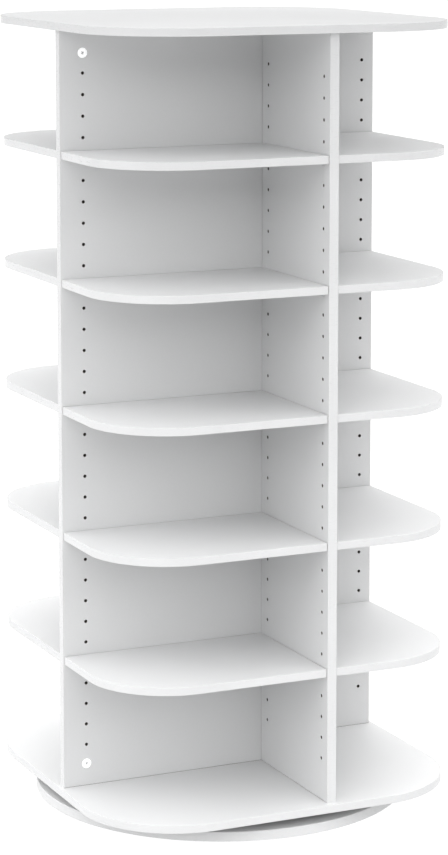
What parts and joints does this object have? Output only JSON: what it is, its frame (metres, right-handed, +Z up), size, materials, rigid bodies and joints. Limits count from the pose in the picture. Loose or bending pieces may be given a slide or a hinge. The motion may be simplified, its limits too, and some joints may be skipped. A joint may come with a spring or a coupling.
{
  "type": "rotating shoe tower",
  "caption": "Tall white shoe tower with open shelved bays in a pinwheel of upright panels, turning on a round base by a ball-bearing swivel.",
  "frame": {"origin": "on the floor, on the tower's turning axis, at the middle of the round base", "axes": "+Z up along the turning axis; bay 1 faces -X and -Y, and upright panel 1 runs out along -X"},
  "size_m": [0.587, 0.598, 1.21],
  "materials": {
    "white_board": "satin white melamine on particle board, with thin plastic edge bands",
    "white_plastic": "white moulded plastic",
    "black_plastic": "black moulded plastic",
    "cage_plastic": "natural moulded nylon",
    "zinc_plate": "pressed sheet, zinc plated",
    "zinc_screws": "bright zinc plated",
    "ball_steel": "polished bearing steel",
    "beech": "plain fluted beech"
  },
  "bodies": {
    "base": {"base_disc": "white_board", "base_glides": "black_plastic", "swivel_lower_plate": "zinc_plate", "swivel_lower_screws": "zinc_screws", "swivel_eyelet": "zinc_plate"},
    "ball_ring": {"ball_cage": "cage_plastic", "bearing_balls": "ball_steel"},
    "tower": {"swivel_upper_plate": "zinc_plate", "swivel_upper_screws": "zinc_screws", "bottom_board": "white_board", "top_board": "white_board", "cam_locks": "white_plastic", "cam_bolts": "zinc_screws", "board_dowels": "beech", "panel_dowels": "beech", "upright_panel_1": "white_board", "upright_panel_2": "white_board", "upright_panel_3": "white_board", "upright_panel_4": "white_board", "shelf_pins_tier_1": "zinc_screws", "edge_pins_tier_1": "zinc_screws", "shelf_1_bay_1": "white_board", "shelf_1_bay_2": "white_board", "shelf_1_bay_3": "white_board", "shelf_1_bay_4": "white_board", "shelf_pins_tier_2": "zinc_screws", "edge_pins_tier_2": "zinc_screws", "shelf_2_bay_1": "white_board", "shelf_2_bay_2": "white_board", "shelf_2_bay_3": "white_board", "shelf_2_bay_4": "white_board", "shelf_pins_tier_3": "zinc_screws", "edge_pins_tier_3": "zinc_screws", "shelf_3_bay_1": "white_board", "shelf_3_bay_2": "white_board", "shelf_3_bay_3": "white_board", "shelf_3_bay_4": "white_board", "shelf_pins_tier_4": "zinc_screws", "edge_pins_tier_4": "zinc_screws", "shelf_4_bay_1": "white_board", "shelf_4_bay_2": "white_board", "shelf_4_bay_3": "white_board", "shelf_4_bay_4": "white_board", "shelf_pins_tier_5": "zinc_screws", "edge_pins_tier_5": "zinc_screws", "shelf_5_bay_1": "white_board", "shelf_5_bay_2": "white_board", "shelf_5_bay_3": "white_board", "shelf_5_bay_4": "white_board"}
  },
  "joints": [
    {"name": "tower_spin", "type": "hinge", "parent": "base", "child": "tower", "pos_m": [0, 0, 0.034], "axis": [0, 0, 1], "continuous": true},
    {"name": "ball_ring_spin", "type": "hinge", "parent": "base", "child": "ball_ring", "pos_m": [0, 0, 0.02575], "axis": [0, 0, 1], "continuous": true}
  ],
  "couplings": [
    {"joint": "ball_ring_spin", "follows": "tower_spin", "ratio": 0.5}
  ]
}
